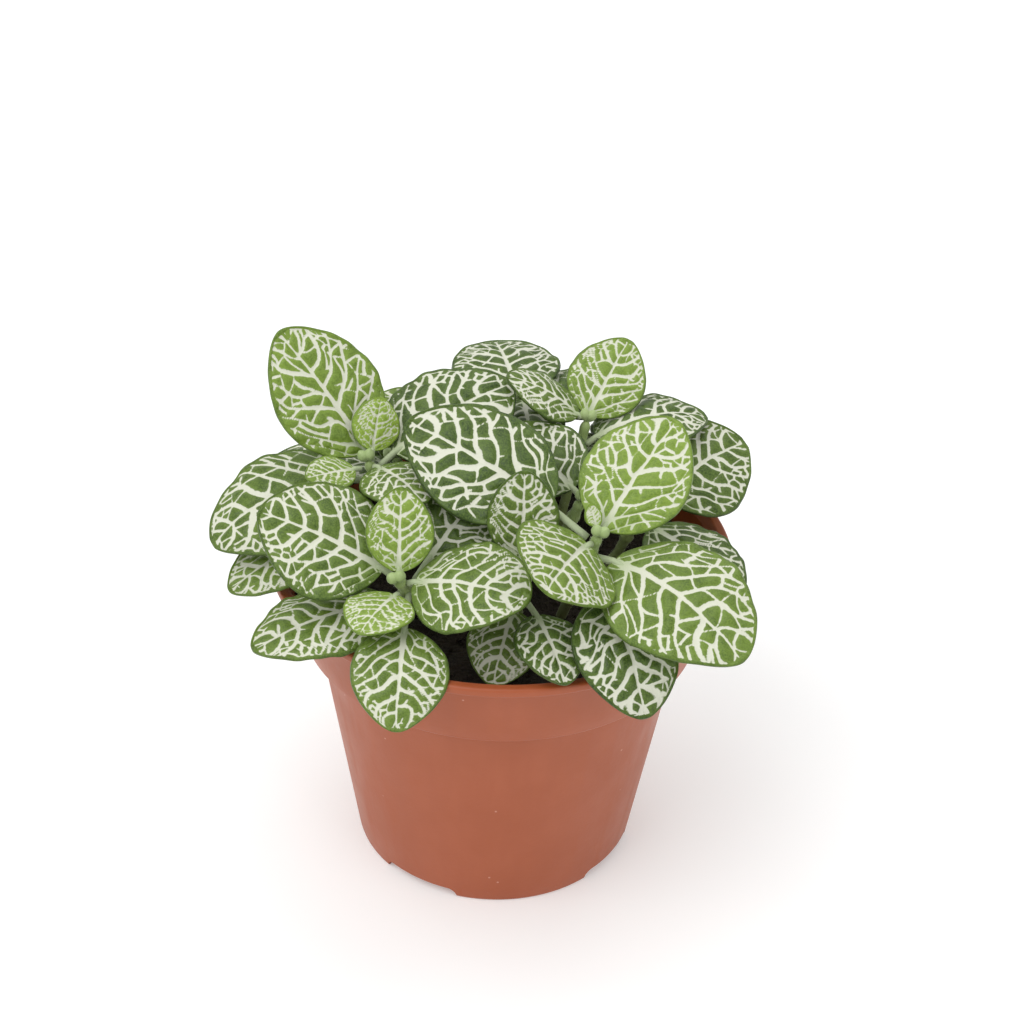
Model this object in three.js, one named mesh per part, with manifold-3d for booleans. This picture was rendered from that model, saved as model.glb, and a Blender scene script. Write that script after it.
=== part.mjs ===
// A nerve plant in a moulded nursery pot: pot, potting mix, one stem per shoot, and each leaf with its
// stalk. Millimetres and degrees, +Z up, +X right, +Y back. The origin is the centre of the pot's base.
import * as THREE from "three";
import { mergeVertices } from "three/addons/utils/BufferGeometryUtils.js";
import Module from "manifold-3d";

const wasm = await Module();
wasm.setup();

// Pot.
const potHeight = 89;
const rimRadius = 60; // outside of the lip
const wall = 1.2;
const floorThickness = 1.6;
const lipHeight = 2.4;
const lipReach = 3.2; // from the collar's top out to the edge of the lip
const lipRound = 0.7;
const collarHeight = 22.3; // lip included
const collarTaper = 4.7; // how much the collar's radius shrinks from its top to its bottom
const collarStep = 3.8; // how far the collar stands out from the body
const bodyTaper = 10.8; // how much the body's radius shrinks from its top to the base
const footRound = 0.9;
const potSides = 64;

// Drainage recesses in the bottom edge, each with a slot through its roof.
const recessCount = 4;
const recessTurn = 59; // heading of one of them
const recessWidth = 22;
const recessHeight = 2.7;
const recessDepth = 6.5;
const recessRound = 2.4;
const slotLength = 9;
const slotWidth = 2.4;

// Potting mix.
const soilBelowRim = 9;
const soilDome = 1.5; // how much higher the soil stands at the middle
const clearance = 0.3; // between pieces that touch

// Plant. Its places and lengths are stated for a pot of this rim radius, and follow the rim.
const grownForRim = 60;
const stemRadius = 1.5;
const stemRooted = 6; // how deep a stem stands in the soil
const stalkRadius = 0.9;
const leafThickness = 0.9;

const plantScale = rimRadius / grownForRim;
const stepZ = potHeight - collarHeight;
const collarTopRadius = rimRadius - lipReach;
const collarBottomRadius = collarTopRadius - collarTaper;
const bodyTopRadius = collarBottomRadius - collarStep;
const baseRadius = bodyTopRadius - bodyTaper;
const soilZ = potHeight - soilBelowRim * plantScale; // a wider pot holds a larger plant, which hangs lower
const soilTop = soilZ + soilDome * plantScale; // the mix is heaped for the plant that stands in it

const potColour = new THREE.MeshStandardMaterial({ color: 0xb0653f, roughness: 0.55, metalness: 0 });
const soilColour = new THREE.MeshStandardMaterial({ color: 0x2b211a, roughness: 1, metalness: 0 });
const stemColour = new THREE.MeshStandardMaterial({ color: 0x7fa04a, roughness: 0.7, metalness: 0 });
const leafColour = new THREE.MeshStandardMaterial({ color: 0x3f7030, roughness: 0.5, metalness: 0 });
const youngColour = new THREE.MeshStandardMaterial({ color: 0x8fb848, roughness: 0.5, metalness: 0 });

const part = new THREE.Group();

function addPiece(name, geometry, material) {
  const piece = new THREE.Mesh(geometry, material);
  piece.name = name;
  part.add(piece);
  return piece;
}

// A closed three.js geometry as a solid that can be cut and joined.
function toSolid(geometry) {
  const bare = geometry.clone();
  bare.deleteAttribute("normal");
  bare.deleteAttribute("uv");
  const merged = mergeVertices(bare, 1e-4);
  return new wasm.Manifold(
    new wasm.Mesh({
      numProp: 3,
      vertProperties: merged.attributes.position.array,
      triVerts: new Uint32Array(merged.index.array),
    }),
  );
}

function toGeometry(solid) {
  const mesh = solid.getMesh();
  const geometry = new THREE.BufferGeometry();
  geometry.setAttribute("position", new THREE.BufferAttribute(mesh.vertProperties, 3));
  geometry.setIndex(new THREE.BufferAttribute(mesh.triVerts, 1));
  return geometry;
}

// A solid of revolution about +Z from [radius, z] points that run from the axis, up the outside, and back.
function revolve(points) {
  const profile = points.map(([radius, z]) => new THREE.Vector2(radius, z));
  return new THREE.LatheGeometry(profile, potSides).rotateX(Math.PI / 2);
}

// The collar's outside radius at a height.
function collarRadius(z) {
  const share = (z - stepZ) / (collarHeight - lipHeight);
  return THREE.MathUtils.lerp(collarBottomRadius, collarTopRadius, share);
}

// Places a shape drawn in the wall's plane (x along the rim, y up) and pushed outwards, at a heading.
function turnOutwards(geometry, heading, radius) {
  const angle = THREE.MathUtils.degToRad(heading);
  const out = new THREE.Vector3(Math.cos(angle), Math.sin(angle), 0);
  const along = new THREE.Vector3(-Math.sin(angle), Math.cos(angle), 0);
  const place = new THREE.Matrix4().makeBasis(along, new THREE.Vector3(0, 0, 1), out);
  place.setPosition(out.clone().multiplyScalar(radius));
  return geometry.applyMatrix4(place);
}

// The solid that a drainage recess takes out of the base. Grown, it is larger by that much all round.
function recessTool(heading, grown) {
  const half = recessWidth / 2 + grown;
  const top = recessHeight + grown;
  const round = recessRound + grown;
  const arch = new THREE.Shape();
  arch.moveTo(-half, -1);
  arch.lineTo(half, -1);
  arch.lineTo(half, top - round);
  arch.absarc(half - round, top - round, round, 0, Math.PI / 2, false);
  arch.lineTo(round - half, top);
  arch.absarc(round - half, top - round, round, Math.PI / 2, Math.PI, false);
  arch.closePath();
  const depth = recessDepth + grown + bodyTaper;
  const tool = new THREE.ExtrudeGeometry(arch, { depth, bevelEnabled: false, curveSegments: 3 });
  return toSolid(turnOutwards(tool, heading, baseRadius - recessDepth - grown));
}

function drainSlot(heading) {
  const slot = new THREE.BoxGeometry(slotLength, 4 * recessHeight, slotWidth);
  return toSolid(turnOutwards(slot, heading, baseRadius - recessDepth / 2 - wall));
}

function recessHeadings() {
  return Array.from({ length: recessCount }, (_, i) => recessTurn + (360 / recessCount) * i);
}

function makePot() {
  const outside = [
    [0, 0],
    [baseRadius - footRound, 0],
    [baseRadius, footRound],
    [bodyTopRadius, stepZ],
    [collarBottomRadius, stepZ],
    [collarTopRadius, potHeight - lipHeight],
    [rimRadius - lipRound / 2, potHeight - lipHeight],
    [rimRadius, potHeight - lipHeight + lipRound],
    [rimRadius, potHeight - lipRound],
    [rimRadius - lipRound, potHeight],
  ];
  const inside = [
    [collarTopRadius + lipRound, potHeight],
    [collarTopRadius - wall, potHeight - lipHeight],
    [collarRadius(stepZ + wall) - wall, stepZ + wall],
    [bodyTopRadius - wall, stepZ + wall],
    [baseRadius - wall, floorThickness],
    [0, floorThickness],
  ];
  const filled = toSolid(revolve([...outside, [0, potHeight]]));
  let pot = toSolid(revolve([...outside, ...inside]));
  for (const heading of recessHeadings()) {
    const shelf = recessTool(heading, wall).intersect(filled);
    pot = pot.add(shelf).subtract(recessTool(heading, 0)).subtract(drainSlot(heading));
  }
  return toGeometry(pot);
}

function makeSoil(sockets) {
  const room = wall + clearance;
  const ledge = stepZ + room;
  const filled = [
    [0, floorThickness + clearance],
    [baseRadius - room, floorThickness + clearance],
    [bodyTopRadius - room, ledge],
    [collarRadius(ledge) - room, ledge],
    [collarRadius(soilZ) - room, soilZ],
    [baseRadius / 2, THREE.MathUtils.lerp(soilZ, soilTop, 0.8)],
    [0, soilTop],
  ];
  let soil = toSolid(revolve(filled));
  for (const heading of recessHeadings()) {
    soil = soil.subtract(recessTool(heading, room));
  }
  for (const socket of sockets) {
    soil = soil.subtract(socket);
  }
  return toGeometry(soil);
}

// A stem's middle line: out of the soil at its foot, then leaning over to its crown.
function stemLine(foot, crown) {
  const root = new THREE.Vector3(foot[0] * plantScale, foot[1] * plantScale, soilZ - stemRooted);
  const top = new THREE.Vector3(crown[0] * plantScale, crown[1] * plantScale, crown[2] * plantScale);
  top.z += potHeight;
  const bend = root.clone().lerp(top, 0.2);
  bend.z = THREE.MathUtils.lerp(root.z, top.z, 0.65);
  return new THREE.QuadraticBezierCurve3(root, bend, top);
}

// A round rod of eight sides along a curve.
function rod(curve, radius, steps) {
  const section = new THREE.Shape().absarc(0, 0, radius, 0, 2 * Math.PI, false);
  return new THREE.ExtrudeGeometry(section, {
    extrudePath: curve,
    steps,
    curveSegments: 4,
    bevelEnabled: false,
  });
}

// The hole in the soil that a stem stands in.
function stemSocket(curve) {
  const start = curve.getPoint(0);
  start.z -= clearance;
  const leave = curve.getPoint(0.5);
  const bend = curve.getPoint(0.25);
  const line = new THREE.QuadraticBezierCurve3(start, bend, leave);
  return toSolid(rod(line, stemRadius + 2 * clearance, 4));
}

// Half the width of a leaf blade at a share of its length, as a share of its greatest half width.
function bladeShape(share) {
  return Math.sin(Math.PI * share ** 0.868) ** 0.6;
}

// One ring across a leaf: seven points over the top from margin to margin, three back underneath.
const ringAcross = [1, 2 / 3, 1 / 3, 0, -1 / 3, -2 / 3, -1, -0.5, 0, 0.5];
const ringUpper = 7;

function leafRing({ centre, side, up, halfWidth, halfThickness, edgeFall }) {
  return ringAcross.map((across, i) => {
    const swell = halfThickness * Math.sqrt(1 - across * across);
    const x = across * halfWidth;
    const z = (i < ringUpper ? swell : -swell) - edgeFall * across * across;
    return centre.clone().addScaledVector(side, x).addScaledVector(up, z);
  });
}

// A closed skin through rings of equal count, with a cap at the first ring and a point at the end.
function loft(rings, tip) {
  const count = rings[0].length;
  const start = rings[0].reduce((sum, p) => sum.add(p), new THREE.Vector3()).divideScalar(count);
  const points = [start, ...rings.flat(), tip];
  const faces = [];
  for (let i = 0; i < count; i += 1) {
    const next = (i + 1) % count;
    faces.push(0, 1 + i, 1 + next);
    for (let ring = 0; ring < rings.length - 1; ring += 1) {
      const here = 1 + ring * count;
      const above = here + count;
      faces.push(here + i, above + i, above + next);
      faces.push(here + i, above + next, here + next);
    }
    const last = 1 + (rings.length - 1) * count;
    faces.push(last + i, points.length - 1, last + next);
  }
  const geometry = new THREE.BufferGeometry().setFromPoints(points);
  geometry.setIndex(faces);
  return geometry;
}

// A leaf: a round stalk that starts beside its stem, and a blade that bends down by droop along its
// length and falls away to both sides by cup. Roll turns the blade about its midrib.
function makeLeaf(stem, leaf) {
  const rad = THREE.MathUtils.degToRad;
  const out = new THREE.Vector3(Math.cos(rad(leaf.heading)), Math.sin(rad(leaf.heading)), 0);
  const vertical = new THREE.Vector3(0, 0, 1);
  const stalk = leaf.stalk * plantScale;
  const length = leaf.length * plantScale;
  const halfWidth = (leaf.width * plantScale) / 2;
  const stalkHalf = Math.min(stalkRadius, halfWidth / 4);
  const pointing = (share) => {
    const slope = rad(leaf.rise - leaf.droop * share);
    return out.clone().multiplyScalar(Math.cos(slope)).addScaledVector(vertical, Math.sin(slope));
  };
  const axis = stem.getTangent(leaf.at);
  const away = pointing(0).addScaledVector(axis, -pointing(0).dot(axis)).normalize();
  const beside = stalkHalf * Math.sqrt(Math.max(0, 1 - pointing(0).dot(away) ** 2));
  const centre = stem.getPoint(leaf.at).addScaledVector(away, stemRadius + clearance + beside);
  const ringAt = (share, halfAcross, halfThickness, edgeFall) => {
    const forward = pointing(share);
    const level = new THREE.Vector3().crossVectors(forward, vertical).normalize();
    const side = level.applyAxisAngle(forward, rad(leaf.roll));
    const up = new THREE.Vector3().crossVectors(side, forward);
    return leafRing({ centre, side, up, halfWidth: halfAcross, halfThickness, edgeFall });
  };
  const rings = [ringAt(0, stalkHalf, stalkHalf, 0)];
  centre.addScaledVector(pointing(0), stalk);
  rings.push(ringAt(0, stalkHalf, stalkHalf, 0));
  const stations = [0.04, 0.14, 0.3, 0.48, 0.66, 0.83, 0.94];
  let reached = 0;
  for (const share of [...stations, 1]) {
    centre.addScaledVector(pointing((reached + share) / 2), (share - reached) * length);
    reached = share;
    if (share < 1) {
      const halfAcross = halfWidth * bladeShape(share);
      const edgeFall = (halfAcross * halfAcross * Math.tan(rad(leaf.cup))) / (2 * halfWidth);
      rings.push(ringAt(share, halfAcross, leafThickness / 2, edgeFall));
    }
  }
  return loft(rings, centre);
}

// The shoots. Foot is where a stem leaves the soil, as [x, y]. Crown is its top, as [x, y, height above
// the rim]. A leaf starts at a share of its stem, and turns from +X towards +Y by its heading.
const shoots = [
  {
    name: "left",
    foot: [-22, 2],
    crown: [-35, 0, 25],
    leaves: [
      { name: "1a", at: 1, heading: 78, rise: 56, droop: 10, roll: 30, cup: 5, stalk: 1, length: 14, width: 13 },
      { name: "1b", at: 1, heading: 214, rise: 14, droop: 14, roll: -16, cup: 5, stalk: 2, length: 14, width: 12 },
      { name: "2a", at: 0.93, heading: 153, rise: 54, droop: 14, roll: -30, cup: 8, stalk: 3, length: 38, width: 29 },
      { name: "2b", at: 0.95, heading: -53, rise: 22, droop: 42, roll: 0, cup: 15, stalk: 2, length: 21, width: 21 },
      { name: "3a", at: 0.86, heading: 197, rise: 10, droop: 66, roll: -15, cup: 25, stalk: 6, length: 40, width: 33 },
      { name: "3b", at: 0.9, heading: 34, rise: 31, droop: 30, roll: 12, cup: 15, stalk: 5, length: 37, width: 34 },
      { name: "4a", at: 0.6, heading: 210, rise: -6, droop: 30, roll: 0, cup: 15, stalk: 17, length: 30, width: 24 },
    ],
  },
  {
    name: "front_left",
    foot: [-15, -20],
    crown: [-25, -36, 13],
    leaves: [
      { name: "1a", at: 1, heading: 90, rise: 70, droop: 10, roll: 0, cup: 8, stalk: 1, length: 21, width: 17 },
      { name: "1b", at: 1, heading: -116, rise: 18, droop: 38, roll: 0, cup: 8, stalk: 1, length: 18, width: 18 },
      { name: "2a", at: 0.92, heading: 171, rise: 34, droop: 24, roll: -24, cup: 12, stalk: 4, length: 34, width: 33 },
      { name: "2b", at: 0.94, heading: -26, rise: 28, droop: 38, roll: 18, cup: 15, stalk: 2, length: 32, width: 29 },
      { name: "3a", at: 0.86, heading: -92, rise: -7, droop: 56, roll: -4, cup: 12, stalk: 12, length: 27, width: 24 },
      { name: "3b", at: 0.8, heading: 50, rise: 36, droop: 15, roll: 20, cup: 10, stalk: 6, length: 24, width: 22 },
      { name: "4a", at: 0.6, heading: 209, rise: 12, droop: 36, roll: 0, cup: 18, stalk: 7, length: 37, width: 28 },
    ],
  },
  {
    name: "front",
    foot: [2, -26],
    crown: [6, -31, 10],
    leaves: [
      { name: "1a", at: 1, heading: 90, rise: 78, droop: 6, roll: 0, cup: 8, stalk: 5, length: 23, width: 18 },
      { name: "1b", at: 0.9, heading: -69, rise: 5, droop: 42, roll: -4, cup: 12, stalk: 9, length: 22, width: 18 },
      { name: "2a", at: 0.8, heading: -107, rise: -20, droop: 40, roll: 0, cup: 12, stalk: 3, length: 20, width: 19 },
    ],
  },
  {
    name: "right",
    foot: [14, -16],
    crown: [24, -28, 23],
    leaves: [
      { name: "1a", at: 1, heading: 120, rise: 60, droop: 10, roll: 0, cup: 10, stalk: 1, length: 6, width: 5 },
      { name: "2a", at: 0.96, heading: 50, rise: 42, droop: 15, roll: 15, cup: 8, stalk: 1, length: 34, width: 28 },
      { name: "2b", at: 0.96, heading: -112, rise: 22, droop: 30, roll: -30, cup: 12, stalk: 2, length: 28, width: 29 },
      { name: "3a", at: 0.8, heading: -43, rise: 16, droop: 54, roll: 12, cup: 16, stalk: 7, length: 44, width: 36 },
      { name: "3b", at: 0.9, heading: 152, rise: 26, droop: 22, roll: -25, cup: 14, stalk: 12, length: 43, width: 32 },
      { name: "4a", at: 0.74, heading: -68, rise: -5, droop: 60, roll: 0, cup: 15, stalk: 13, length: 34, width: 27 },
    ],
  },
  {
    name: "middle",
    foot: [8, -2],
    crown: [20, -9, 21],
    leaves: [
      { name: "1a", at: 1, heading: 138, rise: 25, droop: 22, roll: -16, cup: 10, stalk: 2, length: 26, width: 26 },
    ],
  },
  {
    name: "side_right",
    foot: [26, 4],
    crown: [37, 0, 14],
    leaves: [
      { name: "1a", at: 1, heading: 44, rise: 20, droop: 30, roll: 30, cup: 12, stalk: 3, length: 33, width: 30 },
      { name: "1b", at: 0.85, heading: -46, rise: 8, droop: 34, roll: 0, cup: 12, stalk: 4, length: 32, width: 24 },
    ],
  },
  {
    name: "back_right",
    foot: [12, 12],
    crown: [21, 20, 27],
    leaves: [
      { name: "1a", at: 1, heading: 58, rise: 42, droop: 12, roll: 20, cup: 8, stalk: 1, length: 24, width: 21 },
      { name: "1b", at: 1, heading: 175, rise: 50, droop: 44, roll: 0, cup: 20, stalk: 1, length: 22, width: 20 },
      { name: "2a", at: 0.84, heading: 18, rise: 33, droop: 60, roll: 0, cup: 20, stalk: 3, length: 32, width: 27 },
    ],
  },
  {
    name: "back",
    foot: [0, 22],
    crown: [4, 35, 24],
    leaves: [
      { name: "1a", at: 1, heading: 102, rise: 18, droop: 45, roll: 0, cup: 15, stalk: 2, length: 33, width: 30 },
      { name: "1b", at: 1, heading: -85, rise: 15, droop: 40, roll: 0, cup: 15, stalk: 2, length: 24, width: 20 },
      { name: "2a", at: 0.85, heading: 40, rise: 15, droop: 40, roll: 0, cup: 15, stalk: 5, length: 34, width: 28 },
      { name: "2b", at: 0.85, heading: 196, rise: 15, droop: 40, roll: 0, cup: 15, stalk: 5, length: 34, width: 28 },
      { name: "3a", at: 0.6, heading: 95, rise: 10, droop: 60, roll: 0, cup: 15, stalk: 8, length: 36, width: 29 },
    ],
  },
  {
    name: "back_left",
    foot: [-15, 16],
    crown: [-30, 26, 9],
    leaves: [
      { name: "1a", at: 1, heading: 90, rise: 20, droop: 30, roll: 0, cup: 12, stalk: 1, length: 30, width: 27 },
      { name: "1b", at: 1, heading: 230, rise: 30, droop: 30, roll: 0, cup: 12, stalk: 1, length: 24, width: 20 },
      { name: "2a", at: 0.85, heading: 155, rise: 12, droop: 50, roll: 0, cup: 15, stalk: 5, length: 38, width: 30 },
      { name: "2b", at: 0.85, heading: -25, rise: 30, droop: 40, roll: 0, cup: 15, stalk: 5, length: 30, width: 25 },
      { name: "3a", at: 0.75, heading: 100, rise: 24, droop: 70, roll: 0, cup: 15, stalk: 8, length: 35, width: 28 },
    ],
  },
  {
    name: "back_far_right",
    foot: [26, 20],
    crown: [38, 32, 14],
    leaves: [
      { name: "1a", at: 1, heading: 52, rise: 10, droop: 30, roll: 0, cup: 12, stalk: 1, length: 22, width: 20 },
      { name: "1b", at: 1, heading: -75, rise: 8, droop: 30, roll: 0, cup: 12, stalk: 1, length: 22, width: 18 },
      { name: "2a", at: 0.85, heading: 16, rise: 10, droop: 50, roll: 0, cup: 15, stalk: 5, length: 26, width: 25 },
      { name: "2b", at: 0.85, heading: 180, rise: 5, droop: 30, roll: 0, cup: 15, stalk: 5, length: 24, width: 20 },
      { name: "3a", at: 0.56, heading: 74, rise: 24, droop: 70, roll: 0, cup: 15, stalk: 8, length: 36, width: 28 },
    ],
  },
];

const sockets = [];
for (const shoot of shoots) {
  const line = stemLine(shoot.foot, shoot.crown);
  addPiece("stem_" + shoot.name, rod(line, stemRadius, 8), stemColour);
  sockets.push(stemSocket(line));
  for (const leaf of shoot.leaves) {
    const young = leaf.at === 1;
    addPiece("leaf_" + shoot.name + "_" + leaf.name, makeLeaf(line, leaf), young ? youngColour : leafColour);
  }
}
addPiece("pot", makePot(), potColour);
addPiece("soil", makeSoil(sockets), soilColour);

export default part;
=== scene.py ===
"""A nerve plant in a moulded nursery pot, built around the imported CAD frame.

Every leaf is a fine sheet laid over the form of its CAD solid, with its own net of veins."""

import math
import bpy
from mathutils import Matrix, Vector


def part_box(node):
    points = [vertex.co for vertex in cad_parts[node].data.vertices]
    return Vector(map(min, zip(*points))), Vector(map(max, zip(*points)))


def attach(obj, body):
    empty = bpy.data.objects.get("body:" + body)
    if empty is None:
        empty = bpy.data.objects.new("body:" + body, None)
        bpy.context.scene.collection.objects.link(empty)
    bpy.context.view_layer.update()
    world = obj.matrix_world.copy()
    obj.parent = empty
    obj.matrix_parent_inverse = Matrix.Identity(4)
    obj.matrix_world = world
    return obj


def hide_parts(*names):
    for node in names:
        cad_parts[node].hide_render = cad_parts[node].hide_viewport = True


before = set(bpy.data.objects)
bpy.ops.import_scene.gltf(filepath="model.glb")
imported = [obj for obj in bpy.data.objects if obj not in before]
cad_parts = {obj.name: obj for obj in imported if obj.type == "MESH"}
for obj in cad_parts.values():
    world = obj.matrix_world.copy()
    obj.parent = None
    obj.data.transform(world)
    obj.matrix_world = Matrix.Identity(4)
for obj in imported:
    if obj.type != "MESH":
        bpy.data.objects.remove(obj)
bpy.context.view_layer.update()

import zlib

import bmesh
import bpy
import numpy as np
from mathutils import Matrix, Vector

bl_info = {
    "name": "Potted nerve plant",
    "version": (1, 0, 0),
    "blender": (4, 5, 0),
    "location": "3D View > Sidebar > Nerve plant",
    "description": "Builds the leaves, stems, potting mix and pot of a white-veined nerve plant",
    "category": "Object",
}

MM = 0.001
_, POT_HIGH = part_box("pot")
_, SOIL_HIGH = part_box("soil")

# How young each leaf still is: 1 has just opened, 0 is full grown.
YOUTH = {
    "leaf_left_1a": 1.0,
    "leaf_left_1b": 0.62,
    "leaf_left_2a": 0.56,
    "leaf_left_2b": 0.25,
    "leaf_left_3a": 0.2,
    "leaf_front_left_1a": 0.68,
    "leaf_front_left_1b": 0.72,
    "leaf_front_left_2a": 0.22,
    "leaf_front_left_2b": 0.28,
    "leaf_front_left_3a": 0.3,
    "leaf_front_left_4a": 0.3,
    "leaf_left_4a": 0.35,
    "leaf_right_1a": 1.0,
    "leaf_right_2a": 0.66,
    "leaf_right_2b": 0.45,
    "leaf_right_3a": 0.36,
    "leaf_back_right_1a": 0.62,
    "leaf_back_right_1b": 0.2,
    "leaf_side_right_1a": 0.12,
    "leaf_front_1a": 0.22,
    "leaf_front_2a": 0.25,
    "leaf_back_far_right_1a": 0.3,
    "leaf_back_left_1a": 0.35,
}
GROWN_YOUTH = 0.04  # youth of the leaves that aren't named
YOUNG_SLOT = 0.58  # a leaf at least this young takes the young leaf material


def scene_pointer(settings_class):
    """A pointer from the scene to one group of settings."""
    return bpy.props.PointerProperty(type=settings_class)


def length_property(name, description, default):
    """A length of the object, in metres."""
    return bpy.props.FloatProperty(
        name=name, description=description, default=default, min=0.0, subtype="DISTANCE", unit="LENGTH"
    )


def colour_property(name, description, default):
    """A linear colour."""
    return bpy.props.FloatVectorProperty(
        name=name, description=description, default=default, size=3, min=0.0, max=1.0, subtype="COLOR"
    )


class PotSettings(bpy.types.PropertyGroup):
    """Sizes and colour of the moulded pot"""

    wall: length_property("Wall", "Thickness of the pot's wall", 1.2 * MM)
    floor: length_property("Floor", "Thickness of the pot's floor", 1.6 * MM)
    lip_height: length_property("Lip height", "Height of the lip at the rim", 2.4 * MM)
    lip_reach: length_property("Lip reach", "How far the lip stands out from the collar", 3.2 * MM)
    collar_height: length_property("Collar height", "Height of the collar, lip included", 22.3 * MM)
    collar_taper: length_property("Collar taper", "How much the collar narrows towards its bottom", 4.7 * MM)
    collar_step: length_property("Collar step", "How far the collar stands out from the body", 3.8 * MM)
    body_taper: length_property("Body taper", "How much the body narrows towards its base", 10.8 * MM)
    recess_turn: bpy.props.FloatProperty(
        name="Recess heading",
        description="Heading of the first drainage recess",
        default=math.radians(59),
        subtype="ANGLE",
    )
    recess_width: length_property("Recess width", "Width of a drainage recess", 22 * MM)
    recess_height: length_property("Recess height", "Height of a drainage recess", 2.7 * MM)
    recess_depth: length_property("Recess depth", "Reach of a recess in from the base's edge", 6.5 * MM)
    colour: colour_property("Pot colour", "Colour of the plastic", (0.36, 0.078, 0.021))
    streak_colour: colour_property("Streak colour", "Colour of the paler streaks", (0.40, 0.100, 0.036))


class LeafSettings(bpy.types.PropertyGroup):
    """Sizes and colours of the leaves and stems"""

    thickness: length_property("Leaf thickness", "Thickness of a full grown leaf", 0.6 * MM)
    puff: length_property("Puff", "How far the leaf swells up between its veins", 0.45 * MM)
    vein_width: length_property("Vein width", "Width of a side vein of a full grown leaf", 1.2 * MM)
    cell_length: length_property("Cell length", "Length of a cell between veins", 5.7 * MM)
    spacing: length_property("Mesh spacing", "Spacing of the leaf mesh", 0.34 * MM)
    old_colour: colour_property("Grown leaf colour", "Green of a full grown leaf", (0.016, 0.052, 0.003))
    young_colour: colour_property(
        "Young leaf colour", "Green of a leaf that has just opened", (0.36, 0.50, 0.060)
    )
    vein_colour: colour_property("Vein colour", "Cream of the veins", (0.66, 0.665, 0.56))
    stem_colour: colour_property("Stem colour", "Green of the stems", (0.25, 0.36, 0.10))


class SoilSettings(bpy.types.PropertyGroup):
    """Sizes and colour of the potting mix"""

    crumb: length_property("Crumb", "Size of the largest crumbs", 3.2 * MM)
    crumb_count: bpy.props.IntProperty(
        name="Crumbs", description="Number of loose crumbs", default=900, min=0
    )
    colour: colour_property("Soil colour", "Colour of the potting mix", (0.013, 0.010, 0.007))


class StageSettings(bpy.types.PropertyGroup):
    """Camera and light"""

    distance: length_property("Camera distance", "From the camera to the middle of the plant", 0.6)
    aim_height: length_property("Aim height", "Height that the camera looks at", 100.15 * MM)
    aim_side: bpy.props.FloatProperty(
        name="Aim side",
        description="Place along X that the camera looks at",
        default=2.31 * MM,
        unit="LENGTH",
    )
    pitch: bpy.props.FloatProperty(
        name="Camera pitch",
        description="How steeply the camera looks down",
        default=math.radians(33.84),
        subtype="ANGLE",
    )
    roll: bpy.props.FloatProperty(
        name="Camera roll",
        description="Turn of the camera about its view",
        default=math.radians(1.95),
        subtype="ANGLE",
    )
    lens: bpy.props.FloatProperty(name="Lens", description="Focal length in millimetres", default=82.1)


# --- Plain geometry -------------------------------------------------------------------------------------


def smooth_through(knots, values, places):
    """A cubic curve through the values at the knots, read at the places."""
    knots = np.asarray(knots, float)
    values = np.asarray(values, float)
    slopes = np.gradient(values, knots, axis=0)
    span = np.clip(np.searchsorted(knots, places, side="right") - 1, 0, len(knots) - 2)
    shape = (-1,) + (1,) * (values.ndim - 1)
    width = (knots[span + 1] - knots[span]).reshape(shape)
    t = (np.asarray(places).reshape(shape) - knots[span].reshape(shape)) / width
    start, end = values[span], values[span + 1]
    bend = (2 * t**3 - 3 * t**2 + 1) * start + (3 * t**2 - 2 * t**3) * end
    return bend + (t**3 - 2 * t**2 + t) * width * slopes[span] + (t**3 - t**2) * width * slopes[span + 1]


def smooth_step(low, high, value):
    """0 below low, 1 above high, and a smooth rise between them."""
    t = np.clip((value - low) / (high - low), 0, 1)
    return t * t * (3 - 2 * t)


def soft_minimum(one, other, blend):
    """The smaller of two distances, with a fillet where they meet."""
    mix = np.clip(0.5 + 0.5 * (other - one) / blend, 0, 1)
    return other * (1 - mix) + one * mix - blend * mix * (1 - mix)


def ripples(rng, count, size):
    """Directions and phases of random waves about size long."""
    turn = rng.uniform(0, 2 * math.pi, count)
    pitch = 2 * math.pi / (size * rng.uniform(0.7, 1.5, count))
    return pitch * np.cos(turn), pitch * np.sin(turn), rng.uniform(0, 2 * math.pi, count)


def ripple_height(waves, x, y):
    """Sum of the waves at each place, from about -1 to 1."""
    total = np.zeros(np.shape(x))
    for across, along, phase in zip(*waves):
        total += np.sin(across * x + along * y + phase)
    return total / math.sqrt(2 * len(waves[0]))


def unit(vectors):
    """The same vectors, one long."""
    return vectors / np.maximum(np.linalg.norm(vectors, axis=-1, keepdims=True), 1e-12)


def loft_faces(rings, points):
    """Faces of a closed skin: a pole, rings of points, and a second pole after them."""
    here = np.arange(points)
    after = (here + 1) % points
    faces = []
    for ring in range(rings - 1):
        low = 1 + ring * points
        high = low + points
        faces.append(np.stack([low + here, low + after, high + after, high + here], 1))
    quads = np.concatenate(faces).tolist()
    last = 1 + (rings - 1) * points
    end = 1 + rings * points
    start_fan = np.stack([np.zeros(points, int), 1 + after, 1 + here], 1).tolist()
    end_fan = np.stack([last + here, last + after, np.full(points, end)], 1).tolist()
    return start_fan + quads + end_fan


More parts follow.
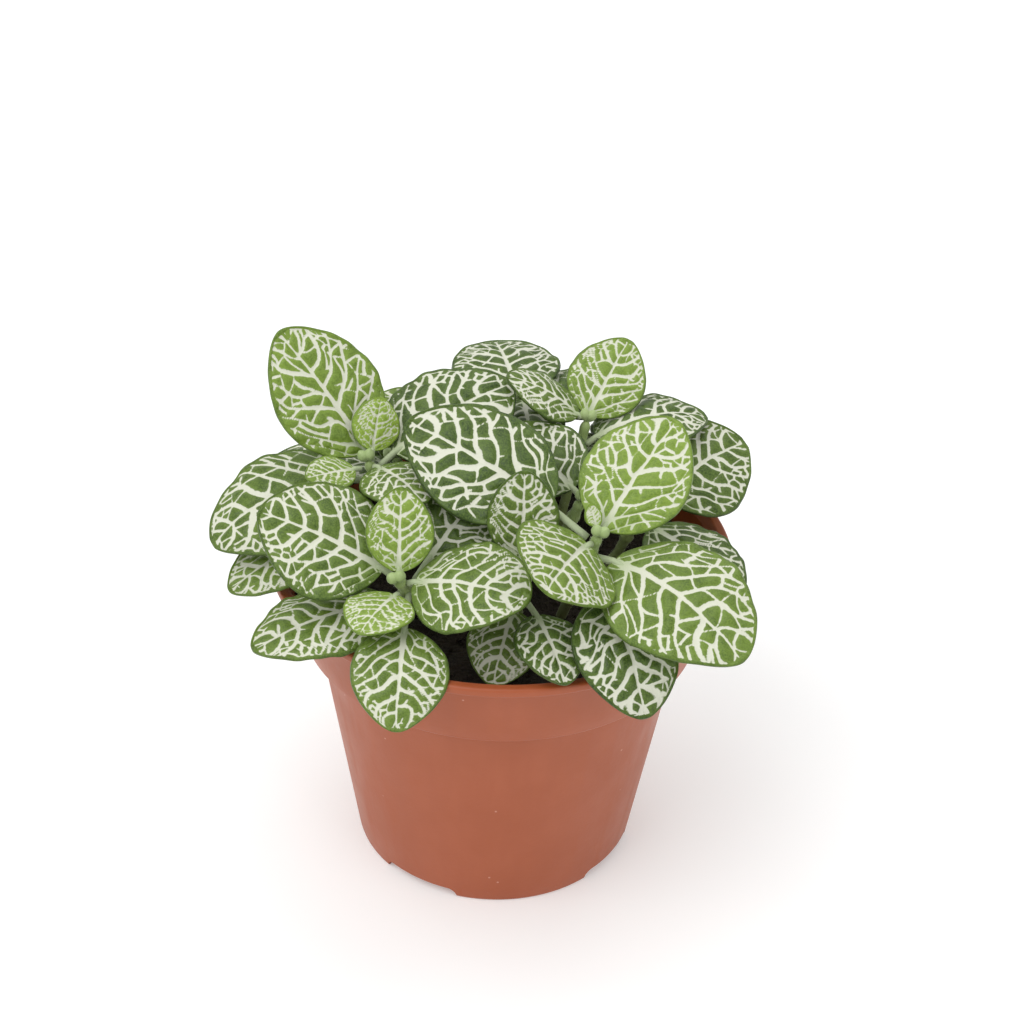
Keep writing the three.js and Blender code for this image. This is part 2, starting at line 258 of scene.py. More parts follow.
class Shells:
    """Closed skins and their per-point marks, gathered into one mesh."""

    def __init__(self):
        self.points, self.faces, self.marks, self.count = [], [], {}, 0

    def add(self, points, faces, marks=None):
        marks = marks or {}
        self.points.append(np.asarray(points, float))
        self.faces += [[corner + self.count for corner in face] for face in faces]
        for name in {**self.marks, **marks}:
            values = marks.get(name, 0.0)
            earlier = self.marks.setdefault(name, [np.zeros(self.count)] if self.count else [])
            earlier.append(np.broadcast_to(np.asarray(values, float), (len(points),)))
        self.count += len(points)

    def build(self, name, smooth=True):
        mesh = bpy.data.meshes.new(name)
        mesh.from_pydata(np.concatenate(self.points).tolist(), [], self.faces)
        for mark, values in self.marks.items():
            layer = mesh.attributes.new(mark, "FLOAT", "POINT")
            layer.data.foreach_set("value", np.concatenate(values).astype(np.float32))
        mesh.polygons.foreach_set("use_smooth", np.full(len(mesh.polygons), smooth))
        mesh.update()
        piece = bpy.data.objects.new(name, mesh)
        bpy.context.scene.collection.objects.link(piece)
        return piece


def swept_rings(centres, radii, sides):
    """Round rings about a line of centres. Returns rings of points, with no ends."""
    centres = np.asarray(centres, float)
    ahead = unit(np.gradient(centres, axis=0))
    side = unit(np.cross(ahead, [0.0, 0.0, 1.0]) + 1e-6)
    over = np.cross(side, ahead)
    turn = np.linspace(0, 2 * math.pi, sides, endpoint=False)
    wheel = np.cos(turn)[None, :, None] * side[:, None] + np.sin(turn)[None, :, None] * over[:, None]
    return centres[:, None] + wheel * np.asarray(radii)[:, None, None]


def add_tube(shells, centres, radii, sides, marks):
    """A tube with closed, rounded ends about a line of centres."""
    rings = swept_rings(centres, radii, sides)
    points = np.concatenate([[centres[0]], rings.reshape(-1, 3), [centres[-1]]])
    spread = {}
    for name, values in marks.items():
        along = np.broadcast_to(np.asarray(values, float), (len(centres),))
        spread[name] = np.concatenate([[along[0]], np.repeat(along, sides), [along[-1]]])
    shells.add(points, loft_faces(len(centres), sides), spread)


def settle(piece, slot, *nodes):
    """Puts a finished piece on the object's one body, in place of its CAD nodes."""
    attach(piece, "root")
    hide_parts(*nodes)


# --- Leaf forms -----------------------------------------------------------------------------------------

RING_POINTS = 10  # points round a CAD leaf's section: 7 over the top, margins included, and 3 beneath
TOP_POINTS = 7
FULL_LENGTH = 40  # length in millimetres of a blade that counts as full sized


def leaf_size(length):
    """Size of a blade this many millimetres long beside a full sized one, within limits."""
    return min(1.1, max(0.3, length / FULL_LENGTH))


def blade_share(share):
    """Half width of a blade, as a share of its greatest, at a share of its length."""
    return np.maximum(np.sin(np.pi * np.clip(share, 0, 1) ** 0.868), 0) ** 0.6


def ring_in_order(ring):
    """The points of one section, in order round it."""
    found = [ring[0]]
    members = set(ring)
    while len(found) < len(ring):
        near = [edge.other_vert(found[-1]) for edge in found[-1].link_edges]
        found.append(next(v for v in near if v in members and v not in found))
    return np.array([v.co for v in found])


def leaf_sections(node):
    """Middle of the stalk's start and end, and the blade's sections and tip, of a CAD leaf."""
    solid = bmesh.new()
    solid.from_mesh(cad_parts[node].data)
    bmesh.ops.remove_doubles(solid, verts=solid.verts, dist=1e-6)
    poles = [v for v in solid.verts if len(v.link_edges) == RING_POINTS]
    reach = [max((edge.calc_length() for edge in v.link_edges)) for v in poles]
    tip = poles[int(np.argmax(reach))]
    seen, level, rings = {tip}, [tip], []
    while True:
        beyond = {edge.other_vert(v) for v in level for edge in v.link_edges} - seen
        if len(beyond) != RING_POINTS:
            break
        level = sorted(beyond, key=lambda v: v.index)
        seen |= beyond
        rings.append(level)
    rings.reverse()
    stalk = [np.mean([v.co for v in ring], axis=0) for ring in rings[:2]]
    sections = [ring_in_order(ring) for ring in rings[2:]]
    end = np.array(tip.co)
    solid.free()
    return stalk, sections, end


def read_section(section, towards):
    """Left margin, right margin, and the middles of the top and underside, of one section."""
    gaps = np.linalg.norm(section[:, None] - section[None], axis=2)
    one, other = np.unravel_index(np.argmax(gaps), gaps.shape)
    if (other - one) % RING_POINTS != TOP_POINTS - 1:
        one, other = other, one
    round_top = np.roll(section, -one, axis=0)
    left, right = round_top[0], round_top[TOP_POINTS - 1]
    top, beneath = round_top[TOP_POINTS // 2], round_top[-2]
    if np.dot(np.cross(right - left, towards), top - beneath) < 0:
        left, right = right, left
    return left, right, top, beneath


class LeafForm:
    """The middle surface of a CAD leaf, as smooth curves along its length."""

    def __init__(self, node):
        self.stalk, sections, tip = leaf_sections(node)
        centres, sides, sags = [self.stalk[1]], [], []
        towards = tip - self.stalk[1]
        read = [read_section(section, towards) for section in sections]
        centres += [(top + beneath) / 2 for _, _, top, beneath in read]
        centres.append(tip)
        steps = np.linalg.norm(np.diff(centres, axis=0), axis=1)
        self.length = steps.sum()
        self.knots = np.concatenate([[0], np.cumsum(steps)]) / self.length
        for share, (left, right, top, beneath) in zip(self.knots[1:-1], read):
            sides.append((right - left) / 2 / blade_share(share))
            sags.append(((left + right) / 2 - (top + beneath) / 2) / blade_share(share) ** 2)
        self.half_width = float(np.mean(np.linalg.norm(sides, axis=1)))
        self.centres = np.array(centres)
        self.sides = np.array([sides[0], *sides, sides[-1]])
        self.sags = np.array([sags[0], *sags, sags[-1]])

    def middle(self, share, across):
        """Points of the middle surface at shares of the length, and across from -1 to 1."""
        outline = blade_share(share)[:, None, None]
        centre = smooth_through(self.knots, self.centres, share)[:, None]
        side = smooth_through(self.knots, self.sides, share)[:, None]
        sag = smooth_through(self.knots, self.sags, share)[:, None]
        a = np.asarray(across)[..., None]
        return centre + side * a * outline + sag * (a * outline) ** 2


# --- Veins ----------------------------------------------------------------------------------------------


class VeinNet:
    """The veins of one blade, in millimetres on the flattened blade: x across, y from base to tip.

    Side veins leave the midrib and arch towards the tip. The bands between them are split into cells by a
    Voronoi pattern, whose edges are the cross veins, forks, loops near the margin and loose ends."""

    sweep_base = 0.44  # how far a side vein from the base climbs by the margin, as a share of the length
    sweep_loss = 0.26  # how much less than that a side vein at the tip climbs
    sweep_bend = 1.28  # power of the climb, where 1 would be a straight vein
    fork_room = 2.9  # millimetres between two side veins of a full sized blade that leave room for forks
    warp = 1.0  # how many millimetres a full sized net is pulled out of true
    plain_rim = 0.95  # millimetres that stay green along a full sized margin, besides 0.25 at any size
    rim_fade = 2.2  # how fast the veins thin out within that width
    young_loss = 0.035  # how many millimetres finer each side of a vein is in a leaf that has just opened
    right_bands = 100  # the bands right of the midrib are numbered from here, and those left of it from 0

    def __init__(self, length, half_width, youth, cell_length, vein_width, rng):
        self.length, self.half_width, self.rng = length, half_width, rng
        self.size = leaf_size(length)
        self.youth = youth
        self.cell = cell_length * self.size**0.8 * (1 - 0.42 * youth)
        self.vein = vein_width / 2 * self.size**0.6 * (1 - 0.18 * youth)
        self.warp_across = ripples(rng, 6, 11 * self.size)
        self.warp_along = ripples(rng, 6, 11 * self.size)
        self.rough = ripples(rng, 8, 1.7)
        count = int(round(4.9 + 0.9 * self.size + 1.2 * youth))
        self.levels = [self.side_levels(count, shift) for shift in (0.0, 0.5)]
        self.vein_sizes = rng.uniform(0.78, 1.12, (2, count + 2))
        self.sow_cells()

    def side_levels(self, count, shift):
        """Where the side veins of one side leave the midrib. Those below 0 fan out of the base."""
        places = (np.arange(count) + 0.42 * shift + self.rng.uniform(-0.13, 0.13, count)) / count
        return np.concatenate([[-0.15], 0.02 + 0.88 * np.maximum(places, 0) ** 0.92])

    def climb(self, reach):
        """How much of its climb a side vein has made at this reach."""
        return np.abs(reach) ** self.sweep_bend

    def level_at(self, share, reach):
        """The level whose side vein passes through a place."""
        bend = self.climb(reach)
        return (share - self.sweep_base * bend) / (1 - self.sweep_loss * bend)

    def place_on(self, level, reach):
        """The place where a side vein of this level reaches this far across."""
        bend = self.climb(reach)
        share = np.clip(level * (1 - self.sweep_loss * bend) + self.sweep_base * bend, 0.001, 0.999)
        return reach * self.half_width * blade_share(share), share * self.length

    def sow_cells(self):
        """Seeds of the cells: rows along each band, and one row beyond the margin."""
        x, y, band, climb, far = [], [], [], [], []
        rng = self.rng
        for side, sign in enumerate((-1, 1)):
            edges = np.concatenate([[-0.42], self.levels[side], [1.02]])
            for number, (low, high) in enumerate(zip(edges[:-1], edges[1:])):
                tall = (high - low) * self.length
                reach = rng.uniform(0.06, 0.2)
                fork = rng.uniform(0.3, 0.75)
                turn = rng.choice((-1, 1))
                rows = []
                while reach < 0.93:
                    step = self.cell / self.half_width * rng.uniform(0.65, 1.3)
                    turn = -turn
                    twin = tall > self.fork_room * self.size and reach > fork
                    for part in ((0.25, 0.75) if twin else (0.5 + 0.22 * turn,)):
                        rows.append((part, min(reach + rng.uniform(-0.3, 0.3) * step, 0.93)))
                    reach += step * (1 - 0.5 * reach)
                rows += [(0.22, 1.06), (0.75, 1.06)]
                for part, out in rows:
                    level = low + (high - low) * (part + rng.uniform(-0.1, 0.1))
                    px, py = self.place_on(level, out)
                    x.append(sign * px)
                    y.append(py)
                    band.append(side * self.right_bands + number)
                    climb.append(level * self.length)
                    far.append(out * self.half_width)
        self.seeds = np.stack([x, y], 1)
        self.bands = np.array(band)
        climb, far = np.array(climb), np.array(far)
        rise = np.abs(climb[:, None] - climb[None])
        self.fork = rise / (rise + np.abs(far[:, None] - far[None]) + 1e-6)
        odds = rng.random((len(x), len(x)))
        self.odds = np.triu(odds) + np.triu(odds, 1).T
        lean = rng.uniform(-1, 1, (len(x), len(x)))
        self.lean = np.triu(lean) - np.triu(lean, 1).T

    def cell_edges(self, x, y, band):
        """Gap to the nearest cross vein: its distance less its half width."""
        across = x[:, None] - self.seeds[None, :, 0]
        along = y[:, None] - self.seeds[None, :, 1]
        apart = np.where(self.bands[None] == band[:, None], 0.0, 1e6)
        squared = across**2 + along**2 + apart
        nearest = np.argmin(squared, axis=1)
        rows = np.arange(len(x))
        home = self.seeds[nearest]
        link = self.seeds[None] - home[:, None]
        span = np.maximum(np.linalg.norm(link, axis=2), 1e-6)
        edge = (squared - squared[rows, nearest][:, None]) / (2 * span)
        edge[rows, nearest] = 1e6
        middle = (self.seeds[None] + home[:, None]) / 2
        slide = (x[:, None] - middle[..., 0]) * -link[..., 1] + (y[:, None] - middle[..., 1]) * link[..., 0]
        slide /= span
        odds = self.odds[nearest]
        # A vein that runs on along its band is a fork of a side vein, and is wider than a cross vein.
        fork = smooth_step(0.45, 0.75, self.fork[nearest])
        width = self.vein * (0.34 + 0.28 * ((odds * 7.3) % 1) + 0.20 * fork)
        # Some of the cross veins stop short, and become loose ends.
        lean = self.lean[nearest]
        broken = odds < 0.36 - 0.22 * fork
        short = smooth_step(-0.5, 1.1, np.sign(lean) * slide / self.size - 0.4 + np.abs(lean))
        width = np.where(broken, width - (width + 0.35) * short, width)
        return np.min(np.where(edge > 1e5, 1e6, edge - width), axis=1)

    def gap(self, share, across):
        """Millimetres from the edge of the nearest vein to each place, below 0 inside a vein."""
        half = self.half_width * blade_share(share)
        x0, y0 = across * half, share * self.length
        warp = self.warp * self.size
        x = x0 + warp * ripple_height(self.warp_across, x0, y0) * smooth_step(0, 2, np.abs(x0))
        y = y0 + warp * ripple_height(self.warp_along, x0, y0)
        s = np.clip(y / self.length, 0.0005, 0.9995)
        reach = np.clip(x / np.maximum(self.half_width * blade_share(s), 0.05), -1.3, 1.3)
        level = self.level_at(s, reach)
        rim = np.minimum((1 - np.abs(across)) * half, (1 - share) * self.length * 0.8)
        rough = 0.07 * self.size * ripple_height(self.rough, x0, y0)

        midrib = np.abs(x0 + 0.25 * ripple_height(self.warp_along, x0 * 0, y0) * self.size)
        midrib_width = self.vein * (0.42 + 1.5 * (1 - share) ** 1.5)
        gap = midrib - midrib_width * smooth_step(1.0, 0.9, share)

        bend = self.climb(reach)
        rise = 1 / self.length / (1 - self.sweep_loss * bend)
        lean = self.sweep_bend * self.sweep_base * np.abs(reach) ** (self.sweep_bend - 1)
        lean /= self.half_width * blade_share(s) + 0.3
        slope = np.sqrt(rise**2 + lean**2)
        side = (x > 0).astype(int)
        band = np.zeros(len(x), int)
        for number in (0, 1):
            on_side = side == number
            levels = self.levels[number]
            band[on_side] = np.searchsorted(levels, level[on_side]) + self.right_bands * number
            away = np.abs(level[on_side][:, None] - levels[None]) / slope[on_side][:, None]
            taper = 1.0 - 0.58 * np.clip(np.abs(reach[on_side]), 0, 1)[:, None] ** 1.3
            basal = np.where(levels < 0, 0.62, 1.0)
            late = np.where(levels > 0.7, 0.75, 1.0)
            width = self.vein * taper * self.vein_sizes[number][None, : len(levels)] * basal * late
            gap[on_side] = soft_minimum(gap[on_side], np.min(away - width, axis=1), 0.5 * self.size)
        gap = soft_minimum(gap, self.cell_edges(x, y, band), 0.42 * self.size)
        plain_rim = self.plain_rim * self.size + 0.25
        faded = self.rim_fade * np.maximum(plain_rim - rim, 0)
        return gap + rough + faded + self.young_loss * self.youth


# --- Leaves ---------------------------------------------------------------------------------------------

WAVE = 0.42 * MM  # how far a full sized blade's margin waves up and down
GROOVE_DEPTH = 0.55 * MM  # depth of the groove along a full sized blade's midrib
GROOVE_REACH = 1.6 * MM  # how far that groove reaches to each side
STALK_SIDES, STEM_SIDES, BUD_SIDES = 12, 20, 14


def seed_of(name):
    """A fixed random generator for one piece."""
    return np.random.default_rng(zlib.crc32(name.encode()))


def margin_wave(share, count, phases):
    """Rise and fall of one margin along the blade: a long wave and a shorter, lower one."""
    along = math.pi * count * share
    return np.sin(2 * along + phases[0]) + 0.5 * np.sin(4.7 * along + phases[1])


def add_blade(shells, form, settings, youth, rng):
    """The blade as one closed sheet, swollen between its veins and waved along its margin."""
    rows = max(24, int(form.length / settings.spacing))
    columns = max(17, int(2 * form.half_width / settings.spacing) | 1)
    even = (np.arange(rows) + 0.5) / rows
    share = 0.45 * even + 0.55 * (0.5 - 0.5 * np.cos(np.pi * even))
    across = np.broadcast_to(np.linspace(-1, 1, columns), (rows, columns))
    half = form.half_width * blade_share(share)
    points = form.middle(share, across)
    along, sideways = np.gradient(points, axis=(0, 1))
    over = unit(np.cross(sideways, along))

    net = VeinNet(
        form.length / MM,
        form.half_width / MM,
        youth,
        settings.cell_length / MM,
        settings.vein_width / MM,
        rng,
    )
    flat_share = np.repeat(share, columns)
    gap = net.gap(flat_share, across.ravel()).reshape(rows, columns)

    size = net.size
    margin = np.minimum((1 - np.abs(across)) * half[:, None], (1 - share[:, None]) * form.length)
    wave_phase = rng.uniform(0, 2 * math.pi, 4)
    wave_count = rng.uniform(2.0, 3.2)
    left = margin_wave(share, wave_count, wave_phase[:2])
    right = margin_wave(share, wave_count, wave_phase[2:])
    wave = np.where(across > 0, right[:, None], left[:, None]) * np.abs(across) ** 3
    wave *= WAVE * size * np.sin(math.pi * share)[:, None] ** 0.5
    hollow = -GROOVE_DEPTH * size * np.exp(-((across * half[:, None] / (GROOVE_REACH * size)) ** 2))
    hollow *= np.sin(math.pi * np.clip(share * 1.02, 0, 1))[:, None] ** 0.6
    points = points + over * (wave + hollow)[..., None]

    puff = settings.puff * size**0.5 * (1 - 0.3 * youth)
    swell = puff * (smooth_step(-0.1, 1.15 * size, gap) - 0.35 * smooth_step(0.1, -0.3, gap))
    round_edge = np.sqrt(np.clip(1 - np.abs(across) ** 24, 0, 1))
    ends = np.sqrt(np.clip(np.minimum(share, 1 - share) / 0.012, 0, 1))[:, None]
    half_thick = settings.thickness / 2 * (0.55 + 0.45 * size) * round_edge * ends
    top = points + over * (half_thick + swell * round_edge * ends)[..., None]
    beneath = points - over * (half_thick - 0.75 * swell * round_edge * ends)[..., None]

    order = list(range(columns)) + list(range(columns - 2, 0, -1))
    under = [False] * columns + [True] * (columns - 2)
    ring = np.where(np.array(under)[None, :, None], beneath[:, order], top[:, order])
    start = points[0].mean(axis=0)
    end = form.centres[-1]
    everything = np.concatenate([[start], ring.reshape(-1, 3), [end]])

    def spread(values, first, last):
        return np.concatenate([[first], np.asarray(values)[:, order].ravel(), [last]])

    marks = {
        "vein_gap": spread(gap, -0.4, 1.0),
        "rim_gap": spread(margin / MM, 1.0, 0.0),
        "youth": youth,
        "root": spread(np.broadcast_to(smooth_step(0.26, 0.0, share)[:, None], across.shape), 1.0, 0.0),
        "under": np.concatenate([[0.0], np.tile(np.array(under, float), rows), [0.0]]),
    }
    shells.add(everything, loft_faces(rows, len(order)), marks)


def add_stalk(shells, form, settings, youth):
    """The stalk, which runs on as the rib under the blade."""
    start, end = form.stalk
    size = leaf_size(form.length / MM)
    thick = (0.62 + 0.3 * size) * MM
    straight = np.linspace(0, 1, 7)[:-1, None]
    stalk = start + (end - start) * straight
    share = np.linspace(0, 0.86, 22)
    middle = form.middle(share, np.zeros((len(share), 1)))[:, 0]
    along = np.gradient(middle, axis=0)
    sides = smooth_through(form.knots, form.sides, share)
    over = unit(np.cross(sides, along))
    radii = np.concatenate([np.full(6, thick), thick * (1 - 0.86 * (share / 0.86) ** 0.55)])
    drop = (radii[6:] * 0.55 + settings.thickness * 0.5) * smooth_step(0, 0.1, share)
    lift = GROOVE_DEPTH * size * np.sin(math.pi * np.clip(share, 0, 1)) ** 0.6
    centres = np.concatenate([stalk, middle - over * (drop + lift)[:, None]])
    root = np.concatenate([np.ones(6), smooth_step(0.5, 0.0, share)])
    marks = {"vein_gap": -0.5, "rim_gap": 5.0, "youth": youth, "root": root, "under": 0.4}
    add_tube(shells, centres, radii, STALK_SIDES, marks)


def make_leaf(node, settings, materials):
    """One leaf with its stalk, in place of its CAD solid."""
    youth = YOUTH.get(node, GROWN_YOUTH)
    rng = seed_of(node)
    form = LeafForm(node)
    shells = Shells()
    add_blade(shells, form, settings, youth, rng)
    add_stalk(shells, form, settings, youth)
    piece = shells.build(node.replace("leaf_", "blade_"))
    piece.data.materials.append(materials["young" if youth >= YOUNG_SLOT else "grown"])
    settle(piece, "young_leaf" if youth >= YOUNG_SLOT else "leaf", node)


# --- Stems ----------------------------------------------------------------------------------------------

STEM_JOINTS = (0.35, 0.62, 0.84, 0.99)  # where a stem is swollen, as shares of its length
HAIRS_PER_MM = 9
HAIR_RADIUS = 0.035 * MM
BUD_LENGTH = 3.4 * MM


def stem_line(node):
    """Middle of a CAD stem's foot and crown, and its radius."""
    co = np.array([v.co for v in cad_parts[node].data.vertices])
    centre = co.mean(axis=0)
    _, _, axes = np.linalg.svd(co - centre, full_matrices=False)
    axis = axes[0] * np.sign(axes[0][2])
    along = (co - centre) @ axis
    span = along.max() - along.min()
    low = co[along < along.min() + 0.02 * span].mean(axis=0)
    high = co[along > along.max() - 0.02 * span].mean(axis=0)
    off = np.linalg.norm((co - centre) - along[:, None] * axis, axis=1)
    return low, high, float(np.median(off))


def make_stem(node, settings, material):
    """A juicy stem, swollen at its joints, covered in short down."""
    rng = seed_of(node)
    low, high, radius = stem_line(node)
    length = np.linalg.norm(high - low)
    steps = 48
    share = np.linspace(0, 1, steps)
    centres = low + (high - low) * share[:, None]
    swell = sum(np.exp(-(((share - joint) * length / (1.5 * MM)) ** 2)) for joint in STEM_JOINTS)
    radii = radius * (0.78 + 0.3 * swell) * np.minimum(1, 0.35 + (1 - share) * 14)
    ring_shape = rng.uniform(-0.04, 0.04, steps)
    shells = Shells()
    marks = {"vein_gap": 1.0, "rim_gap": 5.0, "youth": 0.5, "root": 1 - share, "under": 0.0}
    add_tube(shells, centres, radii * (1 + ring_shape), STEM_SIDES, marks)
    axis = unit(high - low)
    for _ in range(int(length / MM * HAIRS_PER_MM)):
        at = rng.uniform(0.3, 1)
        turn = rng.uniform(0, 2 * math.pi)
        side = unit(np.cross(axis, [math.cos(turn), math.sin(turn), 0.1]))
        reach = radii[int(at * (steps - 1))]
        foot = low + (high - low) * at + side * reach * 0.9
        tip = foot + (side + axis * rng.uniform(-0.3, 0.5)) * rng.uniform(0.35, 0.8) * MM
        add_hair(shells, foot, tip, HAIR_RADIUS)
    add_bud(shells, high, axis, radius)
    piece = shells.build(node.replace("stem_", "stalk_"))
    piece.data.materials.append(material)
    settle(piece, "green_stem", node)


def add_bud(shells, top, axis, radius):
    """The bud at the top of a stem: a pair of leaves that are still folded together."""
    share = np.linspace(0, 1, 14)
    side = unit(np.cross(axis, [0.0, 1.0, 0.0]))
    swell = 0.85 * radius * np.sin(math.pi * (0.05 + 0.94 * share)) ** 0.7
    marks = {"vein_gap": 1.0, "rim_gap": 5.0, "youth": 1.0, "root": 0.0, "under": 0.15}
    for lean in (-1, 1):
        spread = lean * radius * (0.25 + 0.55 * share)
        line = top + axis * (share * BUD_LENGTH)[:, None] + side * spread[:, None]
        add_tube(shells, line, swell, BUD_SIDES, marks)


def add_hair(shells, foot, tip, radius):
    """One hair, as a thin three-sided spike."""
    ahead = unit(tip - foot)
    side = unit(np.cross(ahead, [0.3, 0.5, 0.8]))
    over = np.cross(ahead, side)
    turns = (0.0, 2 * math.pi / 3, 4 * math.pi / 3)
    base = [foot + radius * (math.cos(t) * side + math.sin(t) * over) for t in turns]
    faces = [[0, 1, 3], [1, 2, 3], [2, 0, 3], [2, 1, 0]]
    marks = {"vein_gap": 1.0, "rim_gap": 5.0, "youth": 1.0, "root": 0.0, "under": 1.0}
    shells.add([*base, tip], faces, marks)


# --- Pot and potting mix --------------------------------------------------------------------------------

POT_SIDES, SOIL_SIDES = 256, 220
SOIL_GAP = 0.3 * MM  # clearance between the mix and the pot
EDGE_DROP = 9 * MM  # how far the mix's edge lies below the rim
SOIL_ROUGHNESS = 0.9 * MM


class PotForm:
    """Radii and heights of the pot, from its settings and the size of its CAD solid."""

    def __init__(self, settings):
        self.height = POT_HIGH.z
        self.rim = POT_HIGH.x
        self.wall = settings.wall
        self.floor = settings.floor
        self.lip_height = settings.lip_height
        self.step_height = self.height - settings.collar_height
        self.collar_top = self.rim - settings.lip_reach
        self.collar_bottom = self.collar_top - settings.collar_taper
        self.body_top = self.collar_bottom - settings.collar_step
        self.base = self.body_top - settings.body_taper

    def collar_at(self, z):
        """Outside radius of the collar at a height."""
        share = (z - self.step_height) / (self.height - self.lip_height - self.step_height)
        return self.collar_bottom + (self.collar_top - self.collar_bottom) * share


def rounded(corners, steps=5):
    """A profile through (radius, height, rounding) corners, each turned on an arc-like curve."""
    points = []
    for index, (radius, z, rounding) in enumerate(corners):
        corner = np.array([radius, z])
        if rounding == 0 or index in (0, len(corners) - 1):
            points.append(corner)
            continue
        before = np.array(corners[index - 1][:2]) - corner
        after = np.array(corners[index + 1][:2]) - corner
        start = corner + before / np.linalg.norm(before) * rounding
        end = corner + after / np.linalg.norm(after) * rounding
        for t in np.linspace(0, 1, steps):
            points.append((1 - t) ** 2 * start + 2 * t * (1 - t) * corner + t**2 * end)
    return np.array(points)


def lathe(shells, profile, sides=POT_SIDES):
    """A closed solid turned about Z from a profile that starts and ends on the axis."""
    turn = np.linspace(0, 2 * math.pi, sides, endpoint=False)
    inner = profile[1:-1]
    rings = np.stack(
        [
            inner[:, :1] * np.cos(turn)[None],
            inner[:, :1] * np.sin(turn)[None],
            np.broadcast_to(inner[:, 1:], (len(inner), sides)),
        ],
        axis=2,
    )
    start, end = [0, 0, profile[0][1]], [0, 0, profile[-1][1]]
    shells.add(np.concatenate([[start], rings.reshape(-1, 3), [end]]), loft_faces(len(inner), sides))


def dense(profile, spacing):
    """The same profile with long straights cut into shorter ones."""
    points = [profile[0]]
    for here, there in zip(profile[:-1], profile[1:]):
        cuts = max(1, int(np.linalg.norm(there - here) / spacing))
        points += [here + (there - here) * (i + 1) / cuts for i in range(cuts)]
    return np.array(points)


def recess_tool(name, form, settings, heading, grown):
    """The rounded block that a drainage recess takes out of the base, grown all round by a wall."""
    half = settings.recess_width / 2 + grown
    top = settings.recess_height + grown
    bend = 2.4 * MM + grown
    arc = np.linspace(0, math.pi / 2, 7)
    right = [(half - bend + bend * math.cos(t), top - bend + bend * math.sin(t)) for t in arc]
    left = [(-x, z) for x, z in reversed(right)]
    outline = [(half, -1 * MM), *right, *left, (-half, -1 * MM)]
    near = form.base - settings.recess_depth - grown
    far = form.base + settings.body_taper
    out = Vector((math.cos(heading), math.sin(heading), 0))
    side = Vector((-math.sin(heading), math.cos(heading), 0))
    points = [out * reach + side * x + Vector((0, 0, z)) for reach in (near, far) for x, z in outline]
    count = len(outline)
    faces = [[i, (i + 1) % count, (i + 1) % count + count, i + count] for i in range(count)]
    faces += [list(range(count))[::-1], [i + count for i in range(count)]]
    return plain_object(name, points, faces)


def slot_tool(name, form, settings, heading):
    """The narrow block that cuts a drainage slot through the roof of a recess."""
    box = bmesh.new()
    bmesh.ops.create_cube(box, size=1)
    mesh = bpy.data.meshes.new(name)
    box.to_mesh(mesh)
    box.free()
    out = form.base - settings.recess_depth / 2 - form.wall
    place = Matrix.Rotation(heading, 4, "Z") @ Matrix.Translation((out, 0, 0))
    mesh.transform(place @ Matrix.Diagonal((2.4 * MM, 9 * MM, 8 * settings.recess_height, 1)))
    tool = bpy.data.objects.new(name, mesh)
    bpy.context.scene.collection.objects.link(tool)
    return tool


def plain_object(name, points, faces):
    """An object from bare points and faces, with its faces turned outwards."""
    mesh = bpy.data.meshes.new(name)
    mesh.from_pydata([tuple(p) for p in points], [], faces)
    body = bmesh.new()
    body.from_mesh(mesh)
    bmesh.ops.recalc_face_normals(body, faces=body.faces)
    body.to_mesh(mesh)
    body.free()
    made = bpy.data.objects.new(name, mesh)
    bpy.context.scene.collection.objects.link(made)
    return made


def combine(target, tool, operation):
    """Joins or cuts target with tool, and drops the tool."""
    modifier = target.modifiers.new("cut", "BOOLEAN")
    modifier.operation = operation
    modifier.solver = "EXACT"
    modifier.object = tool
    evaluated = target.evaluated_get(bpy.context.evaluated_depsgraph_get())
    mesh = bpy.data.meshes.new_from_object(evaluated)
    target.modifiers.clear()
    target.data = mesh
    bpy.data.objects.remove(tool)


def pot_outside(form):
    """Corners of the pot's outside, from the base up to the top of the lip."""
    lip_low = form.height - form.lip_height
    return [
        (0, 0, 0),
        (form.base, 0, 0.9 * MM),
        (form.body_top, form.step_height, 0.5 * MM),
        (form.collar_bottom, form.step_height, 0.7 * MM),
        (form.collar_top, lip_low, 0.35 * MM),
        (form.rim, lip_low, 0.7 * MM),
        (form.rim, form.height, 0.9 * MM),
    ]


def make_pot(settings, material):
    """The thin moulded pot with its lip, stepped collar and drainage recesses."""
    form = PotForm(settings)
    ledge = form.step_height + form.wall
    inside = [
        (form.collar_top + 0.7 * MM, form.height, 0.5 * MM),
        (form.collar_top - form.wall, form.height - form.lip_height, 0.4 * MM),
        (form.collar_at(ledge) - form.wall, ledge, 0.3 * MM),
        (form.body_top - form.wall, ledge, 0.5 * MM),
        (form.base - form.wall, form.floor, 0.6 * MM),
        (0, form.floor, 0),
    ]
    shells = Shells()
    lathe(shells, dense(rounded([*pot_outside(form), *inside]), 3 * MM))
    pot = shells.build("nursery_pot")
    filled = Shells()
    lathe(filled, dense(rounded([*pot_outside(form), (0, form.height, 0)]), 3 * MM))
    for number in range(4):
        heading = settings.recess_turn + number * math.pi / 2
        shelf = recess_tool("shelf", form, settings, heading, form.wall)
        whole = bpy.data.objects.new("whole", filled_mesh(filled))
        bpy.context.scene.collection.objects.link(whole)
        combine(shelf, whole, "INTERSECT")
        combine(pot, shelf, "UNION")
        combine(pot, recess_tool("recess", form, settings, heading, 0.0), "DIFFERENCE")
        combine(pot, slot_tool("slot", form, settings, heading), "DIFFERENCE")
    pot.data.polygons.foreach_set("use_smooth", np.ones(len(pot.data.polygons), bool))
    pot.data.set_sharp_from_angle(angle=math.radians(38))
    pot.data.materials.clear()
    pot.data.materials.append(material)
    settle(pot, "pot_plastic", "pot")


